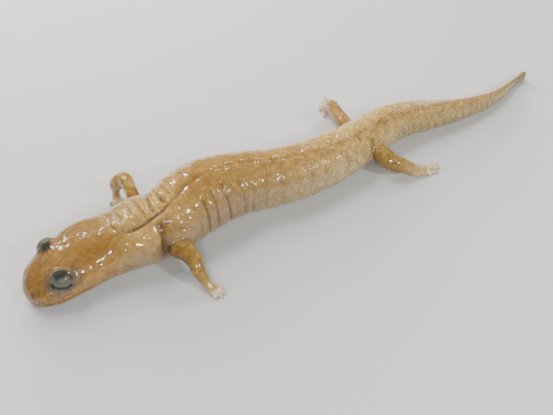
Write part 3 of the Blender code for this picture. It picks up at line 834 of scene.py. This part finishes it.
# a soft unevenness all over, strongest on the shoulders and back, which breaks the shine up
swellings = [(size, Vector(shift), height) for size, shift, height in UNEVEN]
uneven = np.empty(len(points))
for k, point in enumerate(points):
    spot = Vector(point)
    uneven[k] = sum(height * noise.noise(spot / size + shift) for size, shift, height in swellings)
calm = CALM_HEAD[2] * (1 - rise(*CALM_HEAD[:2], x)) + CALM_TAIL[2] * rise(*CALM_TAIL[:2], x)
calm += CALM_LEGS[2] * rise(*CALM_LEGS[:2], outside)
press += uneven * rise(*UNEVEN_BASE, points[:, 2]) * (1 - np.minimum(calm, MOST_CALM))
points -= normals * press[:, None]


def unit(vector):
    """A vector's way, one long."""
    return np.array(vector, float) / np.linalg.norm(vector)


def eye_frame(right):
    """The middle of an eye, the way it looks, the way along its lower lid, and the way up from that lid."""
    side = 1 if right else -1
    middle = np.array([EYE_X, EYE_MIDDLE_Y + side * EYE_OFFSET, EYE_HEIGHT])
    gaze = unit([GAZE[0], side * GAZE[1], GAZE[2]])
    along = np.array([LID_LINE[0], side * LID_LINE[1], LID_LINE[2]])
    along = unit(along - gaze * (along @ gaze))
    above = np.cross(gaze, along) * -side
    return middle, gaze, along, above


def lid_opening(way, along, above):
    """How far ways from the middle of an eye lie out from the middle of its opening; the lids' edge is 1."""
    u = way @ along * EYE_RADIUS / OPENING[0]
    v = way @ above * EYE_RADIUS
    upper = np.hypot(u, v / OPENING[1])
    lower = (np.abs(u) ** LOWER_ROUND + np.abs(v / OPENING[2]) ** LOWER_ROUND) ** (1 / LOWER_ROUND)
    return np.where(v > 0, upper, lower), v


def dark_zone(way, right):
    """How much of the dark of an eye shows in each way from its middle, from 0 to 1."""
    dark_way, half_length, half_width = DARK_ZONES["right" if right else "left"]
    off = way - unit(dark_way)
    return np.exp(-((off[:, 0] / half_length) ** 2) - (off[:, 1] ** 2 + off[:, 2] ** 2) / half_width**2)


lid = np.zeros(len(points))
slit_shade = np.zeros(len(points))
dark_eye = np.zeros(len(points))
for right in (False, True):
    middle, gaze, along, above = eye_frame(right)
    offset = points - middle
    distance = np.linalg.norm(offset, axis=1)
    way = offset / distance[:, None]
    opening, v = lid_opening(way, along, above)
    facing = rise(*LID_FACING, way @ gaze)
    close = 1 - rise(*LID_REACH, distance)
    # the lids lie on the ball and run out into the head, and the skin of the opening lies under the ball
    over_ball = EYE_RADIUS + LID_THICKNESS
    lift = over_ball - distance
    new_distance = distance + 0.5 * (lift + np.sqrt(lift**2 + LID_BLEND**2)) * close
    new_distance += (over_ball - new_distance) * (1 - rise(*LID_COLLAR, opening)) * facing * close
    new_distance += LID_RIM[2] * hump(opening - LID_RIM[0], LID_RIM[1]) * facing * close
    inside = (1 - rise(*UNDER_BALL[:2], opening)) * facing * close
    new_distance += (EYE_RADIUS - UNDER_BALL[2] - new_distance) * inside
    points = middle + way * new_distance[:, None]
    # a dark line of painted shade where the lower lid meets the ball
    line = hump(opening - LID_SLIT[0], LID_SLIT[1]) * facing * close * rise(*SLIT_RISE, v)
    slit_shade = np.maximum(slit_shade, line)
    dark_eye = np.maximum(dark_eye, dark_zone(way, right) * (1 - rise(*DARK_REACH, distance)))
    tint = (1 - rise(*LID_TINT, opening)) * rise(*LID_TINT_FACING, way @ gaze) * close
    lid = np.maximum(lid, tint)

points[:, 2] = np.maximum(points[:, 2], 0)
write_points(skin.data, points)


# Skin colours: yellow ochre on the back with a browner band along its middle, orange on the head with
# brown flecks on the snout, greyish pink on the flanks, golden legs and pale toes, all of it wet.
# Painted shadow and shade: dark where the legs leave the body and at the throat, in the grooves, folds,
# mouth and nostrils, and along each lower lid.
DORSUM = (0.388, 0.225, 0.0496, 1.0)
DORSUM_REAR = (0.68, 0.45, 0.145, 1.0)
BAND = (0.291, 0.141, 0.0304, 1.0)
FLANK = (0.345, 0.236, 0.121, 1.0)
FLANK_REAR = (0.601, 0.446, 0.2, 1.0)
BELLY = (0.558, 0.424, 0.258, 1.0)
HEAD = (0.272, 0.136, 0.0219, 1.0)
HEAD_SIDE = (0.447, 0.242, 0.0538, 1.0)
HEAD_DARK = (0.209, 0.111, 0.0256, 1.0)
JAW = (0.297, 0.18, 0.0769, 1.0)
NAPE = (0.468, 0.291, 0.147, 1.0)
SHOULDER = (0.726, 0.461, 0.136, 1.0)
LIMB = (0.395, 0.234, 0.0498, 1.0)
LIMB_DARK = (0.274, 0.147, 0.023, 1.0)
FOOT = (0.726, 0.506, 0.22, 1.0)
TOE = (0.80, 0.67, 0.42, 1.0)
TAIL = (0.481, 0.33, 0.115, 1.0)
TAIL_BACK = (0.562, 0.367, 0.138, 1.0)
TAIL_END = (0.192, 0.16, 0.104, 1.0)
KEEL = (0.80, 0.71, 0.53, 1.0)
# the dark of the skin's own veins and mottling, and also the painted shade in grooves, folds, mouth and
# nostrils
VEIN_AND_CREASE_SHADE = (0.11, 0.055, 0.020, 1.0)
SHADOW = (0.12, 0.060, 0.012, 1.0)
LID = (0.118, 0.114, 0.080, 1.0)
OLIVE = (0.19, 0.125, 0.045, 1.0)
DARK_EYE_AND_SLIT_SHADE = (0.030, 0.034, 0.024, 1.0)
FLECK = (0.20, 0.08, 0.02, 1.0)
PALE = (0.74, 0.60, 0.38, 1.0)
PATCH_SIZE = 2.0
VEIN_SIZE = 1.5
MOTTLE_SIZE = 0.9
CELL_SIZE = 0.8
GRAIN_SIZE = 0.35
SKIN_FINISH = {
    "Subsurface Weight": 0.15,
    "Subsurface Radius": (1.0, 0.45, 0.2),
    "Subsurface Scale": 1.0 * MM,
    "Coat Roughness": 0.06,
    "Coat Weight": 0.75,
    "Specular IOR Level": 0.25,
    "IOR": 1.4,
}
BUMP_STRENGTH = 0.7
BUMP_HEIGHT = 0.16 * MM
FOOT_SPREAD = 2.6  # the paler skin of a broader foot runs further up its leg
ROOT_SHADOWS = (
    # painted shadow where a leg leaves the body: points, how far it spreads, how dark it is
    (((-46.6, -9.8, 6.6), (-45.5, -11.6, 6.0), (-44.6, -13.6, 5.2)), 2.0, 1.0),
    (((11.2, -6.2, 8.4), (10.6, -7.6, 7.0), (10.0, -8.8, 5.2), (10.4, -10.0, 4.0)), 0.8, 1.0),
    (((11.0, -10.0, 4.6), (12.6, -12.2, 4.0), (14.4, -13.8, 3.0)), 1.7, 0.6),
    (((-45.6, 8.6, 8.0), (-47.4, 9.2, 5.0)), 1.0, 0.6),
    (((10.4, 7.2, 6.6), (10.0, 8.0, 4.0)), 1.0, 0.6),
)

masks = {
    # where each colour lies: x along the body, degrees from the line of the back round it
    "crease_shade_and_flecks": np.clip(crease_shade_and_flecks, 0, 1),
    "around": around / 180,
    "head": 1 - rise(-58, -50, x),
    "snout": 1 - rise(-70, -66, x),
    "tail": rise(14, 30, x),
    "keel": hump(from_back + 12, 11) * span(22, 34, 64, 72, x) * on_body,
    "line": hump(from_back - 10, 9) * span(12, 20, 40, 52, x) * on_body,
    "band": hump(from_back, 20) * span(-47, -36, 18, 40, x) * on_body,
    "cloud": hump(x + 36, 5) * hump(from_back - 9, 20) * on_body,
    "nape": hump(x + 54, 2.2) * hump(from_back + 30, 20) * on_body,
    "limb": rise(0.3, 1.3, outside),
    "lid": lid,
    "slit_shade": slit_shade,
    "dark_eye": dark_eye,
    "rear": rise(-26, 8, x),
    "shoulder": np.exp(-(((x + 48.5) / 9.5) ** 4) - ((around / 62) ** 4)) * on_body,
    "tip": rise(62, 69, x),
    "shadow": 0.75 * hump(x + 44.7, 1.1) * span(4, 18, 50, 85, from_back),
    "toe": np.zeros(len(points)),
    "foot": np.zeros(len(points)),
}
for dark_places, spread, amount in ROOT_SHADOWS:
    away, _ = path_distance(points, dark_places)
    masks["shadow"] = np.maximum(masks["shadow"], hump(away, spread) * amount)
for base, tip in toe_tips:
    away, along = path_distance(points, (base, (tip[0], tip[1], base[2])))
    masks["toe"] = np.maximum(masks["toe"], (1 - rise(0.5, 1.1, away)) * rise(0.0, 0.5, along))
for *middle, half_width in palms:
    away = np.linalg.norm(points - middle, axis=1)
    masks["foot"] = np.maximum(masks["foot"], 1 - rise(half_width, half_width**2 * FOOT_SPREAD, away))
for mask_name, values in masks.items():
    mask = skin.data.attributes.new(mask_name, "FLOAT", "POINT")
    mask.data.foreach_set("value", values.astype(np.float32))


class Shade:
    """A value or colour in a material, which is added, multiplied and mixed like a number."""

    def __init__(self, tree, socket=None):
        self.tree = tree
        self.socket = socket

    def add_node(self, kind, settings=None, inputs=None, output=0):
        """Any node, from its type, its settings, and the values or links of its sockets."""
        node = self.tree.nodes.new(kind)
        for name, value in (settings or {}).items():
            setattr(node, name, value)
        for key, value in (inputs or {}).items():
            if isinstance(value, Shade):
                self.tree.links.new(value.socket, node.inputs[key])
            else:
                node.inputs[key].default_value = value
        return Shade(self.tree, node.outputs[output])

    def sum_of(self, operation, first, second):
        return self.add_node("ShaderNodeMath", {"operation": operation}, {0: first, 1: second})

    def __add__(self, other):
        return self.sum_of("ADD", self, other)

    def __sub__(self, other):
        return self.sum_of("SUBTRACT", self, other)

    def __rsub__(self, other):
        return self.sum_of("SUBTRACT", other, self)

    def __mul__(self, other):
        return self.sum_of("MULTIPLY", self, other)

    __radd__ = __add__
    __rmul__ = __mul__

    def between(self, low, high):
        """0 where this is under low, 1 where it is over high, and a smooth rise between them."""
        return self.add_node(
            "ShaderNodeMapRange", {"interpolation_type": "SMOOTHSTEP"}, {0: self, 1: low, 2: high}
        )

    def choose(self, first, second):
        """The first colour where this is 0, the second where it is 1, and mixes of them between."""
        return self.add_node("ShaderNodeMix", {"data_type": "RGBA"}, {0: self, 6: first, 7: second}, 2)

    def laid_over(self, *layers):
        """This colour with others laid over it in turn, each with where it lies and how strongly."""
        colour = self
        for where, strength, over in layers:
            colour = (where * strength).choose(colour, over)
        return colour

    def attribute(self, name):
        """A mask that the mesh carries."""
        return self.add_node("ShaderNodeAttribute", {"attribute_name": name}, output=2)

    def noise(self, place, size, detail=2.0, roughness=0.5):
        """Soft mottling whose patches are about size across, in millimetres."""
        inputs = {"Vector": place, "Scale": 1 / (size * MM), "Detail": detail, "Roughness": roughness}
        return self.add_node("ShaderNodeTexNoise", {}, inputs)

    def feed(self, key):
        """Links this to a socket of the material's shader."""
        shader = self.tree.nodes["Principled BSDF"]
        self.tree.links.new(self.socket, shader.inputs[key])


wet_skin = bpy.data.materials.new("wet_skin")
wet_skin.use_nodes = True
shader = wet_skin.node_tree.nodes["Principled BSDF"]
for key, value in SKIN_FINISH.items():
    shader.inputs[key].default_value = value

shade = Shade(wet_skin.node_tree)
place = shade.add_node("ShaderNodeTexCoord", output=3)
mask = {name: shade.attribute(name) for name in masks}
patches = shade.noise(place, PATCH_SIZE, 3.0, 0.6)
mottle = shade.noise(place, MOTTLE_SIZE, 3.0, 0.65)
grain = shade.noise(place, GRAIN_SIZE, 2.0, 0.6)
veins = shade.noise(place, VEIN_SIZE, 4.0, 0.7)
veins = veins.between(0.42, 0.50) * (1 - veins.between(0.50, 0.58))

sides = (mask["around"] + 0.12 * patches - 0.06).between(0.16, 0.48)
back_colour = mask["rear"].choose(DORSUM, DORSUM_REAR)
flank_colour = mask["rear"].choose(FLANK, FLANK_REAR)
tail_colour = (mask["around"] + 0.15 * mottle).between(0.20, 0.36).choose(TAIL_BACK, TAIL)
head_colour = mask["around"].between(0.15, 0.42).choose(HEAD, HEAD_SIDE)
head_colour = head_colour.laid_over(
    (patches.between(0.45, 0.65), 0.5, HEAD_DARK),
    (mask["around"].between(0.42, 0.62), 1, JAW),
)
limb_colour = patches.between(0.42, 0.62).choose(LIMB, LIMB_DARK)
limb_colour = limb_colour.laid_over(
    (mottle.between(0.55, 0.75), 1, LIMB),
    (mask["foot"], 0.8, FOOT),
    (mask["toe"], 1, TOE),
)
colour = sides.choose(back_colour, flank_colour).laid_over(
    # where it lies, how strongly it covers, and the colour
    (mask["around"].between(0.55, 0.8), 1, BELLY),
    (mask["shoulder"], 0.45, SHOULDER),
    (mask["band"] * patches.between(0.25, 0.6), 0.75, BAND),
    (mask["cloud"] * mottle.between(0.35, 0.6), 0.5, BAND),
    (mask["tail"], 0.85, tail_colour),
    (mask["line"], 0.38, BAND),
    (mask["keel"], 0.7, KEEL),
    (mask["tip"], 0.5, TAIL_END),
    (mask["head"], 1, head_colour),
    (mask["nape"], 0.8, NAPE),
    (mask["snout"], 0.35, HEAD_DARK),
    (mask["snout"] * mottle.between(0.56, 0.64), 0.8, FLECK),
    (mask["limb"], 1, limb_colour),
    (mask["lid"], 0.85, LID),
    (patches.between(0.46, 0.66), 0.36, OLIVE),
    (veins, 0.36 + 0.14 * mask["rear"] + 0.14 * mask["snout"], VEIN_AND_CREASE_SHADE),
    (mottle.between(0.4, 0.75), 0.24, VEIN_AND_CREASE_SHADE),
    (grain.between(0.56, 0.72), 0.12 + 0.18 * mask["rear"], PALE),
    # painted shadow where the legs leave the body and at the throat
    (mask["shadow"], 0.6 + 0.3 * patches, SHADOW),
    # painted shade in the grooves, folds, mouth and nostrils, with the snout's own brown flecks
    (mask["crease_shade_and_flecks"], 0.85, VEIN_AND_CREASE_SHADE),
    (mask["dark_eye"].between(0.15, 0.8), 0.93, DARK_EYE_AND_SLIT_SHADE),
    # painted shade of the line along the lower lid
    (mask["slit_shade"], 0.95, DARK_EYE_AND_SLIT_SHADE),
)
colour.feed("Base Color")

roughness = 0.22 + 0.25 * mottle.between(0.35, 0.7)
roughness.feed("Roughness")
cells = shade.add_node(
    "ShaderNodeTexVoronoi",
    {"feature": "SMOOTH_F1"},
    {"Vector": place, "Scale": 1 / (CELL_SIZE * MM), "Smoothness": 0.6},
)
relief = 0.6 * (1 - cells) + 0.6 * mottle + 0.25 * grain
bumps = shade.add_node(
    "ShaderNodeBump", {}, {"Strength": BUMP_STRENGTH, "Distance": BUMP_HEIGHT, "Height": relief}
)
bumps.feed("Normal")

skin.data.materials.clear()
skin.data.materials.append(wet_skin)
write_points(skin.data, points * MM)
skin.data.shade_smooth()
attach(skin, "root")
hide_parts(*[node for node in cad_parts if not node.startswith("eye")])


# Eyes: two small wet balls, set deep in the head behind the lids. They are a milky grey green, with a
# dark zone towards the top, and painted shade: a dark line along the lower lid and a darkening under the
# upper lid.
EYE_MILKY = (0.104, 0.108, 0.084, 1.0)
EYE_DARK = (0.026, 0.029, 0.021, 1.0)
EYE_FINISH = {
    "Roughness": 0.36,
    "Specular IOR Level": 0.3,
    "Coat Weight": 0.1,
    "Coat Roughness": 0.03,
}
EYE_CLOUD_SIZE = 0.8
EYE_SIDES, EYE_RINGS = 64, 40
BALL_SLIT = (0.72, 0.82)  # how far out from the opening's middle the dark line of painted shade starts; the lids' edge is 1
BALL_EDGE = (0.66, 0.92, 0.7)  # how far out the painted shade under the upper lid darkens the ball, and how dark it gets
BALL_EDGE_RISE = (-0.5, 0.3)

eye_finish = bpy.data.materials.new("clouded_eye")
eye_finish.use_nodes = True
shader = eye_finish.node_tree.nodes["Principled BSDF"]
for key, value in EYE_FINISH.items():
    shader.inputs[key].default_value = value
shade = Shade(eye_finish.node_tree)
place = shade.add_node("ShaderNodeTexCoord", output=3)
cloud = shade.noise(place, EYE_CLOUD_SIZE, 2.0, 0.5)
dark = (shade.attribute("dark") + 0.25 * cloud - 0.12).between(0.15, 0.85)
dark.choose(EYE_MILKY, EYE_DARK).feed("Base Color")

for right in (False, True):
    middle, gaze, along, above = eye_frame(right)
    ball = bmesh.new()
    turn = Vector(gaze).to_track_quat("Z", "Y").to_matrix().to_4x4()
    bmesh.ops.create_uvsphere(
        ball, u_segments=EYE_SIDES, v_segments=EYE_RINGS, radius=EYE_RADIUS, matrix=turn
    )
    bmesh.ops.translate(ball, vec=middle, verts=ball.verts)
    name = "eyeball_right" if right else "eyeball_left"
    eye = add_piece(name, ball)
    points = read_points(eye.data)
    way = (points - middle) / EYE_RADIUS
    opening, v = lid_opening(way, along, above)
    # painted shade along the lower lid and under the upper lid, kept in one mask with the dark zone
    line = rise(*BALL_SLIT, opening) * rise(*SLIT_RISE, v) * (way @ gaze > 0)
    edge = BALL_EDGE[2] * rise(*BALL_EDGE[:2], opening) * rise(*BALL_EDGE_RISE, v) * (way @ gaze > 0)
    values = np.maximum(dark_zone(way, right), np.maximum(line, edge))
    dark_values = eye.data.attributes.new("dark", "FLOAT", "POINT")
    dark_values.data.foreach_set("value", values.astype(np.float32))
    eye.data.materials.append(eye_finish)
    write_points(eye.data, points * MM)
    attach(eye, "root")
    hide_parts("eye_right" if right else "eye_left")
